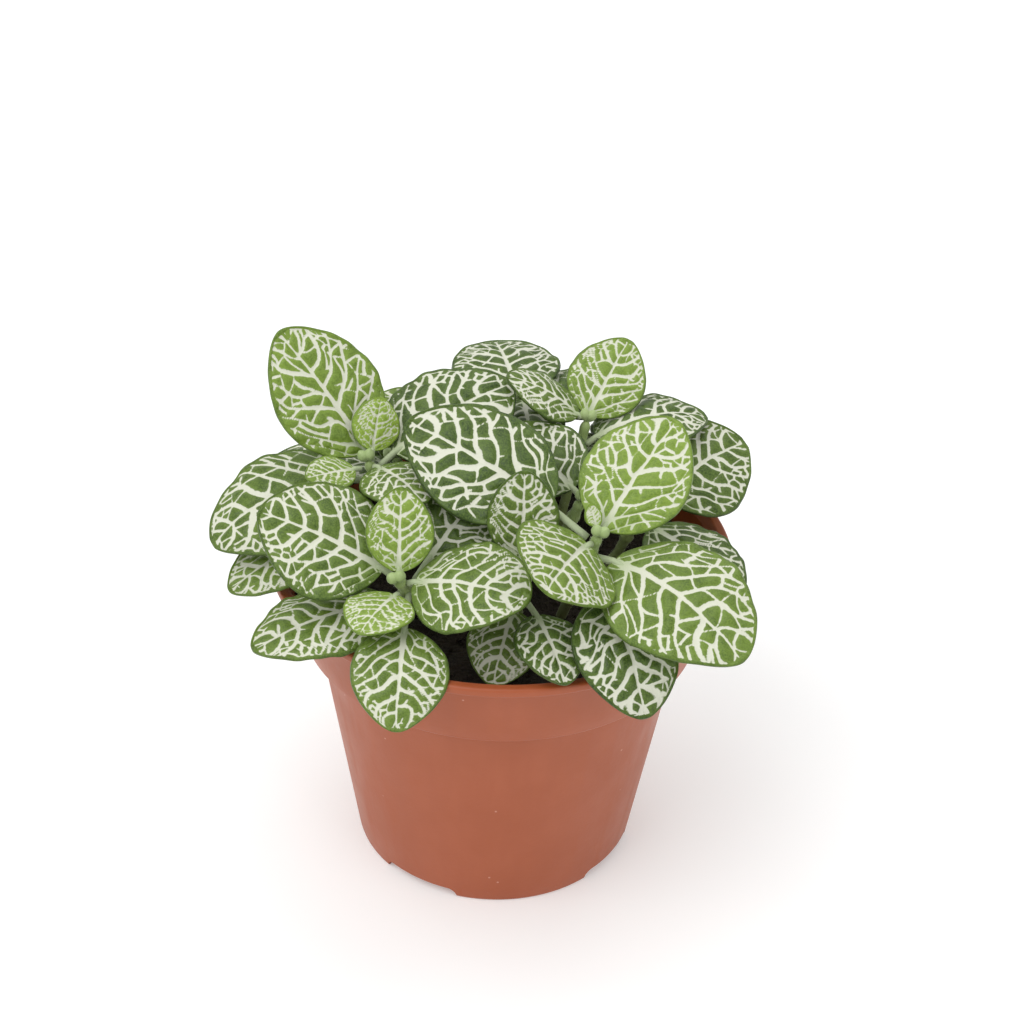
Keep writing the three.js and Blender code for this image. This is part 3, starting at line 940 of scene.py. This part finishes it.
def filled_mesh(shells):
    """A bare mesh from gathered skins."""
    mesh = bpy.data.meshes.new("filled")
    mesh.from_pydata(np.concatenate(shells.points).tolist(), [], shells.faces)
    return mesh


def make_soil(pot_settings, settings, material):
    """The potting mix: a closed body under a rough, crumbly top, with loose crumbs on it."""
    rng = seed_of("soil")
    form = PotForm(pot_settings)
    room = form.wall + SOIL_GAP
    ledge = form.step_height + room
    dome = SOIL_HIGH.z
    edge_height = form.height - EDGE_DROP
    edge = form.collar_at(edge_height) - room
    shelf_top = pot_settings.recess_height + 2 * room
    inner = form.base - pot_settings.recess_depth - 2 * room
    bottom = form.floor + SOIL_GAP
    low = [(0, bottom), (inner, bottom), (inner, shelf_top)]
    low += [(form.base - room + 0.4 * MM, shelf_top), (form.body_top - room, ledge)]
    low += [(form.collar_at(ledge) - room, ledge)]
    rings = 110
    radius = np.linspace(edge, 0, rings)
    top = np.stack([radius, edge_height + (dome - edge_height) * (1 - (radius / edge) ** 2)], 1)
    profile = np.concatenate([dense(np.array(low), 6 * MM), top])
    shells = Shells()
    lathe(shells, profile, SOIL_SIDES)
    points = shells.points[0]
    coarse, fine = ripples(rng, 10, 9 * MM), ripples(rng, 14, 2.4 * MM)
    finest = ripples(rng, 16, 1.1 * MM)
    x, y = points[:, 0], points[:, 1]
    rough = 0.5 * ripple_height(coarse, x, y) + 0.42 * np.abs(ripple_height(fine, x, y))
    rough += 0.25 * ripple_height(finest, x, y)
    on_top = points[:, 2] > edge_height - 1e-6
    inward = smooth_step(0, 2 * MM, edge - np.hypot(x, y))
    points[:, 2] += np.where(on_top, (rough - 0.5) * SOIL_ROUGHNESS * inward, 0)
    for _ in range(settings.crumb_count):
        place_crumb(shells, rng, settings, edge, edge_height, dome)
    piece = shells.build("potting_mix", smooth=False)
    piece.data.materials.append(material)
    settle(piece, "potting_mix", "soil")


def place_crumb(shells, rng, settings, edge, edge_height, dome):
    """One loose crumb, a dented lump that sits in the top of the mix."""
    reach = math.sqrt(rng.random()) * (edge - 2 * MM)
    turn = rng.uniform(0, 2 * math.pi)
    size = settings.crumb / 2 * rng.uniform(0.18, 1) ** 1.6
    lump = bmesh.new()
    bmesh.ops.create_icosphere(lump, subdivisions=1, radius=1)
    co = np.array([v.co for v in lump.verts])
    faces = [[v.index for v in face.verts] for face in lump.faces]
    lump.free()
    co *= size * rng.uniform(0.55, 1.1, (len(co), 1)) * rng.uniform(0.6, 1.25, (1, 3))
    ground = edge_height + (dome - edge_height) * (1 - (reach / edge) ** 2)
    co += [reach * math.cos(turn), reach * math.sin(turn), ground + size * 0.1 - 0.3 * MM]
    shells.add(co, faces)


# --- Materials ------------------------------------------------------------------------------------------

# Linear colours that mix with those of the settings. The two shades multiply a green, and darken it.
LIT_GREEN = (0.36, 0.52, 0.10)  # painted light coming through the thin skin; the skin's own flecks and mottling, and the green beside its veins, are mixed towards it
FLESH_SHADE = (0.42, 0.50, 0.40)
RIM_SHADE = (0.55, 0.62, 0.45)
YOUNG_VEIN = (0.58, 0.70, 0.34)
VEIN_FLECK = (0.48, 0.55, 0.33)
UNDERSIDE = (0.24, 0.33, 0.17)
PALE_STEM = (0.42, 0.53, 0.22)
STEM_FOOT = (0.16, 0.15, 0.06)
STEM_DOWN = (0.72, 0.78, 0.60)
POT_SPECK = (0.68, 0.40, 0.30)
BROWN_MIX = (0.032, 0.021, 0.013)
FIBRE = (0.060, 0.042, 0.028)
VEIN_FRAY = 1900.0  # noise scale of the small bites in a vein's edge, per metre


class Nodes:
    """A short way to lay out shader nodes in one tree."""

    def __init__(self, tree):
        self.tree = tree

    def add(self, kind, inputs=None, **settings):
        node = self.tree.nodes.new(kind)
        for name, value in settings.items():
            setattr(node, name, value)
        for name, value in (inputs or {}).items():
            socket = node.inputs[name]
            if isinstance(value, bpy.types.NodeSocket):
                self.tree.links.new(value, socket)
            else:
                socket.default_value = value
        return node

    def math(self, operation, first, second):
        return self.add("ShaderNodeMath", {0: first, 1: second}, operation=operation).outputs[0]

    def ramp(self, value, low, high, start=0.0, end=1.0):
        """A smooth change from start to end as value goes from low to high."""
        node = self.add(
            "ShaderNodeMapRange",
            {"Value": value, "From Min": low, "From Max": high, "To Min": start, "To Max": end},
            interpolation_type="SMOOTHSTEP",
        )
        return node.outputs["Result"]

    def mix(self, factor, first, second, blend="MIX"):
        node = self.tree.nodes.new("ShaderNodeMix")
        node.data_type = "RGBA"
        node.blend_type = blend
        for socket, value in ((node.inputs[0], factor), (node.inputs[6], first), (node.inputs[7], second)):
            if isinstance(value, bpy.types.NodeSocket):
                self.tree.links.new(value, socket)
            elif isinstance(value, (int, float)):
                socket.default_value = value
            else:
                socket.default_value = (*value, 1)
        return node.outputs[2]

    def noise(self, vector, scale, detail=3.0, roughness=0.5):
        inputs = {"Vector": vector, "Scale": scale, "Detail": detail, "Roughness": roughness}
        return self.add("ShaderNodeTexNoise", inputs).outputs["Fac"]

    def mark(self, name):
        return self.add("ShaderNodeAttribute", attribute_name=name).outputs["Fac"]

    def place(self):
        return self.add("ShaderNodeTexCoord").outputs["Object"]


def new_group(name, inputs, outputs):
    """A shader node group with named sockets, and its input and output nodes."""
    tree = bpy.data.node_groups.new(name, "ShaderNodeTree")
    for label, kind, default in inputs:
        socket = tree.interface.new_socket(label, in_out="INPUT", socket_type=kind)
        socket.default_value = (*default, 1) if kind == "NodeSocketColor" else default
    for label, kind in outputs:
        tree.interface.new_socket(label, in_out="OUTPUT", socket_type=kind)
    return tree, tree.nodes.new("NodeGroupInput"), tree.nodes.new("NodeGroupOutput")


def grain_group():
    """Fine grain over a surface: a speckle mask, broad mottling, and a height for bump."""
    inputs = [("Grain Size", "NodeSocketFloat", 0.0004), ("Mottle Size", "NodeSocketFloat", 0.006)]
    outputs = [("Speckle", "NodeSocketFloat"), ("Mottle", "NodeSocketFloat"), ("Height", "NodeSocketFloat")]
    tree, given, made = new_group("Surface Grain", inputs, outputs)
    nodes = Nodes(tree)
    place = nodes.place()
    fine = nodes.math("DIVIDE", 1.0, given.outputs["Grain Size"])
    broad = nodes.math("DIVIDE", 1.0, given.outputs["Mottle Size"])
    speckle = nodes.noise(place, fine, 2.0, 0.6)
    mottle = nodes.noise(place, broad, 4.0, 0.55)
    height = nodes.math("ADD", speckle, nodes.math("MULTIPLY", mottle, 0.4))
    tree.links.new(nodes.ramp(speckle, 0.32, 0.68), made.inputs["Speckle"])
    tree.links.new(nodes.ramp(mottle, 0.3, 0.7), made.inputs["Mottle"])
    tree.links.new(height, made.inputs["Height"])
    return tree


def grained(nodes, grain, grain_size, mottle_size):
    """The shared grain in a material, at sizes of its own."""
    sizes = {"Grain Size": grain_size, "Mottle Size": mottle_size}
    return nodes.add("ShaderNodeGroup", sizes, node_tree=grain)


def leaf_skin_group(grain):
    """Colour, roughness and height of a leaf's skin, from the marks on its mesh."""
    inputs = [
        ("Grown Colour", "NodeSocketColor", (0.05, 0.12, 0.02)),
        ("Young Colour", "NodeSocketColor", (0.3, 0.5, 0.05)),
        ("Vein Colour", "NodeSocketColor", (0.8, 0.8, 0.7)),
        ("Stalk Colour", "NodeSocketColor", (0.3, 0.4, 0.1)),
    ]
    outputs = [("Colour", "NodeSocketColor"), ("Roughness", "NodeSocketFloat"), ("Height", "NodeSocketFloat")]
    tree, given, made = new_group("Leaf Skin", inputs, outputs)
    nodes = Nodes(tree)
    skin = grained(nodes, grain, 0.42 * MM, 4.5 * MM)
    speckle, mottle = skin.outputs["Speckle"], skin.outputs["Mottle"]
    gap, youth = nodes.mark("vein_gap"), nodes.mark("youth")
    green = nodes.mix(youth, given.outputs["Grown Colour"], given.outputs["Young Colour"])
    # pale: the green with painted light coming through the thin skin
    pale = nodes.mix(0.36, green, LIT_GREEN)
    deep = nodes.mix(1.0, green, FLESH_SHADE, "MULTIPLY")
    green = nodes.mix(nodes.math("MULTIPLY", speckle, 0.42), deep, pale)
    green = nodes.mix(nodes.math("MULTIPLY", mottle, 0.35), green, pale)
    # painted light through the skin, strongest beside the veins
    halo = nodes.ramp(gap, 0.75, 0.0, 0.0, 0.30)
    green = nodes.mix(halo, green, pale)
    rim = nodes.ramp(nodes.mark("rim_gap"), 0.9, 0.1, 0.0, 0.55)
    green = nodes.mix(rim, green, nodes.mix(1.0, green, RIM_SHADE, "MULTIPLY"))
    bites = nodes.math("SUBTRACT", nodes.noise(nodes.place(), VEIN_FRAY, 2.0), 0.5)
    ragged = nodes.math("MULTIPLY", bites, 0.26)
    mask = nodes.ramp(nodes.math("ADD", gap, ragged), 0.09, -0.10)
    root = nodes.mark("root")
    vein = nodes.mix(nodes.math("MULTIPLY", youth, 0.08), given.outputs["Vein Colour"], YOUNG_VEIN)
    vein = nodes.mix(nodes.math("MULTIPLY", root, 0.55), vein, given.outputs["Stalk Colour"])
    vein = nodes.mix(nodes.math("MULTIPLY", speckle, 0.14), vein, VEIN_FLECK)
    colour = nodes.mix(mask, green, vein)
    beneath = nodes.mix(0.55, colour, UNDERSIDE)
    colour = nodes.mix(nodes.mark("under"), colour, beneath)
    rough = nodes.math("ADD", nodes.math("MULTIPLY", mask, 0.10), nodes.math("MULTIPLY", speckle, 0.12))
    tree.links.new(colour, made.inputs["Colour"])
    tree.links.new(nodes.math("ADD", rough, 0.36), made.inputs["Roughness"])
    tree.links.new(skin.outputs["Height"], made.inputs["Height"])
    return tree


def new_material(name, **finish):
    """A material with a Principled shader, its plain values set on its own sockets."""
    material = bpy.data.materials.new(name)
    material.use_nodes = True
    shader = material.node_tree.nodes["Principled BSDF"]
    for socket, value in finish.items():
        shader.inputs[socket.replace("_", " ")].default_value = value
    return material, Nodes(material.node_tree), shader


def bump(nodes, shader, height, strength, distance):
    """Feeds a height to the shader's normal."""
    inputs = {"Height": height, "Strength": strength, "Distance": distance}
    node = nodes.add("ShaderNodeBump", inputs)
    nodes.tree.links.new(node.outputs["Normal"], shader.inputs["Normal"])


def leaf_material(name, skin, settings, sheen):
    """A leaf: dark or light green with cream veins and satin, with the light through its thin skin painted
    into its green.
    """
    finish = {"Sheen_Weight": sheen, "Sheen_Roughness": 0.5, "Specular_IOR_Level": 0.32}
    material, nodes, shader = new_material(name, **finish)
    colours = {
        "Grown Colour": (*settings.old_colour, 1),
        "Young Colour": (*settings.young_colour, 1),
        "Vein Colour": (*settings.vein_colour, 1),
        "Stalk Colour": (*settings.stem_colour, 1),
    }
    group = nodes.add("ShaderNodeGroup", colours, node_tree=skin)
    nodes.tree.links.new(group.outputs["Colour"], shader.inputs["Base Color"])
    nodes.tree.links.new(group.outputs["Roughness"], shader.inputs["Roughness"])
    bump(nodes, shader, group.outputs["Height"], 0.55, 0.00012)
    return material


def stem_material(grain, settings):
    """Pale green, juicy and slightly streaked."""
    material, nodes, shader = new_material("Stem", Roughness=0.5, Sheen_Weight=0.2)
    group = grained(nodes, grain, 0.5 * MM, 3 * MM)
    base = tuple(settings.stem_colour)
    green = nodes.mix(nodes.math("MULTIPLY", group.outputs["Mottle"], 0.5), base, PALE_STEM)
    green = nodes.mix(nodes.math("MULTIPLY", nodes.mark("root"), 0.75), green, STEM_FOOT)
    green = nodes.mix(nodes.math("MULTIPLY", nodes.mark("under"), 0.7), green, STEM_DOWN)
    nodes.tree.links.new(green, shader.inputs["Base Color"])
    bump(nodes, shader, group.outputs["Height"], 0.5, 0.0002)
    return material


def pot_material(grain, settings):
    """Satin terracotta-coloured plastic with faint streaks, mottling and pale specks."""
    material, nodes, shader = new_material("Pot plastic", Specular_IOR_Level=0.5)
    group = grained(nodes, grain, 1.1 * MM, 20 * MM)
    place = nodes.place()
    stretched = nodes.add("ShaderNodeMapping", {"Vector": place, "Scale": (1.0, 1.0, 0.08)}).outputs[0]
    streak = nodes.ramp(nodes.noise(stretched, 260.0, 3.0), 0.38, 0.72)
    plain, streaked = tuple(settings.colour), tuple(settings.streak_colour)
    colour = nodes.mix(nodes.math("MULTIPLY", streak, 0.35), plain, streaked)
    darker = tuple(0.86 * c for c in settings.colour)
    colour = nodes.mix(nodes.math("MULTIPLY", group.outputs["Mottle"], 0.35), colour, darker)
    cells = nodes.add("ShaderNodeTexVoronoi", {"Vector": place, "Scale": 210.0, "Randomness": 1.0})
    dot = nodes.ramp(cells.outputs["Distance"], 0.085, 0.04)
    chosen = nodes.ramp(nodes.noise(place, 90.0, 1.0), 0.56, 0.62)
    speck = nodes.math("MULTIPLY", nodes.math("MULTIPLY", dot, chosen), 0.45)
    colour = nodes.mix(speck, colour, POT_SPECK)
    nodes.tree.links.new(colour, shader.inputs["Base Color"])
    rough = nodes.math("ADD", nodes.math("MULTIPLY", group.outputs["Mottle"], 0.10), 0.36)
    rough = nodes.math("ADD", rough, nodes.math("MULTIPLY", streak, 0.07))
    nodes.tree.links.new(rough, shader.inputs["Roughness"])
    bump(nodes, shader, group.outputs["Height"], 0.25, 0.00012)
    return material


def soil_material(grain, settings):
    """Dark damp mix, mottled with brown."""
    material, nodes, shader = new_material("Potting mix", Roughness=0.92)
    group = grained(nodes, grain, 0.7 * MM, 4 * MM)
    colour = nodes.mix(group.outputs["Mottle"], tuple(settings.colour), BROWN_MIX)
    colour = nodes.mix(nodes.math("MULTIPLY", group.outputs["Speckle"], 0.3), colour, FIBRE)
    nodes.tree.links.new(colour, shader.inputs["Base Color"])
    bump(nodes, shader, group.outputs["Height"], 0.9, 0.0006)
    return material


def shared_group(name, make, *needs):
    """A node group that is made once and used again."""
    return bpy.data.node_groups.get(name) or make(*needs)


# --- Operators ------------------------------------------------------------------------------------------


class NERVE_OT_pot(bpy.types.Operator):
    """Build the moulded pot"""

    bl_idname = "nerve.pot"
    bl_label = "Pot"

    def execute(self, context):
        grain = shared_group("Surface Grain", grain_group)
        settings = context.scene.nerve_pot
        make_pot(settings, pot_material(grain, settings))
        return {"FINISHED"}


class NERVE_OT_soil(bpy.types.Operator):
    """Build the potting mix"""

    bl_idname = "nerve.soil"
    bl_label = "Potting mix"

    def execute(self, context):
        grain = shared_group("Surface Grain", grain_group)
        settings = context.scene.nerve_soil
        make_soil(context.scene.nerve_pot, settings, soil_material(grain, settings))
        return {"FINISHED"}


class NERVE_OT_stems(bpy.types.Operator):
    """Build the stems"""

    bl_idname = "nerve.stems"
    bl_label = "Stems"

    def execute(self, context):
        grain = shared_group("Surface Grain", grain_group)
        settings = context.scene.nerve_leaf
        material = stem_material(grain, settings)
        for node in sorted(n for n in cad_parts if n.startswith("stem_")):
            make_stem(node, settings, material)
        return {"FINISHED"}


class NERVE_OT_leaves(bpy.types.Operator):
    """Build every leaf with its stalk and veins"""

    bl_idname = "nerve.leaves"
    bl_label = "Leaves"

    def execute(self, context):
        grain = shared_group("Surface Grain", grain_group)
        skin = shared_group("Leaf Skin", leaf_skin_group, grain)
        settings = context.scene.nerve_leaf
        materials = {
            "grown": leaf_material("Grown leaf", skin, settings, 0.02),
            "young": leaf_material("Young leaf", skin, settings, 0.08),
        }
        for node in sorted(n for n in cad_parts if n.startswith("leaf_")):
            make_leaf(node, settings, materials)
        return {"FINISHED"}


def area_light(name, place, target, size, power):
    """A soft square light aimed at a point."""
    data = bpy.data.lights.new(name, "AREA")
    data.shape = "SQUARE"
    data.size = size
    data.energy = power
    light = bpy.data.objects.new(name, data)
    light.location = place
    light.rotation_mode = "QUATERNION"
    light.rotation_quaternion = (Vector(target) - Vector(place)).to_track_quat("-Z", "Y")
    bpy.context.scene.collection.objects.link(light)


class NERVE_OT_stage(bpy.types.Operator):
    """Set up the floor, the light and the camera"""

    bl_idname = "nerve.stage"
    bl_label = "Stage"

    def execute(self, context):
        settings = context.scene.nerve_stage
        scene = context.scene
        far = 4.0
        corners = [(-far, -far, 0), (far, -far, 0), (far, far, 0), (-far, far, 0)]
        floor = plain_object("floor", corners, [[0, 1, 2, 3]])
        material, _, _ = new_material(
            "Floor",
            Base_Color=(0.8, 0.81, 0.81, 1),
            Roughness=0.9,
            Emission_Color=(1, 1, 1, 1),
            Emission_Strength=0.24,
        )
        floor.data.materials.append(material)
        world = bpy.data.worlds.new("Studio")
        world.use_nodes = True
        background = world.node_tree.nodes["Background"]
        background.inputs["Color"].default_value = (1, 1, 1, 1)
        background.inputs["Strength"].default_value = 0.66
        scene.world = world
        aim = Vector((settings.aim_side, 0, settings.aim_height))
        area_light("key_light", (-0.75, -0.55, 1.35), aim, size=1.3, power=12.5)
        area_light("fill_light", (1.1, -0.9, 0.9), aim, size=1.0, power=3)
        area_light("top_light", (0.1, 0.5, 1.5), aim, size=1.2, power=6)
        camera = bpy.data.objects.new("camera", bpy.data.cameras.new("camera"))
        back = Vector((0, -math.cos(settings.pitch), math.sin(settings.pitch)))
        camera.location = aim + back * settings.distance
        turn = (-back).to_track_quat("-Z", "Y").to_matrix() @ Matrix.Rotation(settings.roll, 3, "Z")
        camera.rotation_euler = turn.to_euler()
        camera.data.lens = settings.lens
        camera.data.sensor_width = 36
        camera.data.clip_start = 0.01
        scene.collection.objects.link(camera)
        scene.camera = camera
        scene.view_settings.view_transform = "Standard"
        return {"FINISHED"}


class NERVE_PT_panel(bpy.types.Panel):
    """Buttons and settings of the potted nerve plant"""

    bl_label = "Nerve plant"
    bl_idname = "NERVE_PT_panel"
    bl_space_type = "VIEW_3D"
    bl_region_type = "UI"
    bl_category = "Nerve plant"

    def draw(self, context):
        for operator, settings in BUTTONS:
            box = self.layout.box()
            box.operator(operator.bl_idname)
            group = getattr(context.scene, settings)
            for name in group.__class__.__annotations__:
                box.prop(group, name)


BUTTONS = (
    (NERVE_OT_stage, "nerve_stage"),
    (NERVE_OT_pot, "nerve_pot"),
    (NERVE_OT_soil, "nerve_soil"),
    (NERVE_OT_stems, "nerve_leaf"),
    (NERVE_OT_leaves, "nerve_leaf"),
)
SETTINGS = {
    "nerve_pot": PotSettings,
    "nerve_leaf": LeafSettings,
    "nerve_soil": SoilSettings,
    "nerve_stage": StageSettings,
}


def register():
    for settings_class in SETTINGS.values():
        bpy.utils.register_class(settings_class)
    for name, settings_class in SETTINGS.items():
        setattr(bpy.types.Scene, name, scene_pointer(settings_class))
    for operator, _ in BUTTONS:
        bpy.utils.register_class(operator)
    bpy.utils.register_class(NERVE_PT_panel)


def unregister():
    bpy.utils.unregister_class(NERVE_PT_panel)
    for operator, _ in reversed(BUTTONS):
        bpy.utils.unregister_class(operator)
    for name in SETTINGS:
        delattr(bpy.types.Scene, name)
    for settings_class in reversed(list(SETTINGS.values())):
        bpy.utils.unregister_class(settings_class)


def main():
    register()
    bpy.ops.nerve.stage()
    bpy.ops.nerve.pot()
    bpy.ops.nerve.soil()
    bpy.ops.nerve.stems()
    bpy.ops.nerve.leaves()


if __name__ == "__main__":
    main()
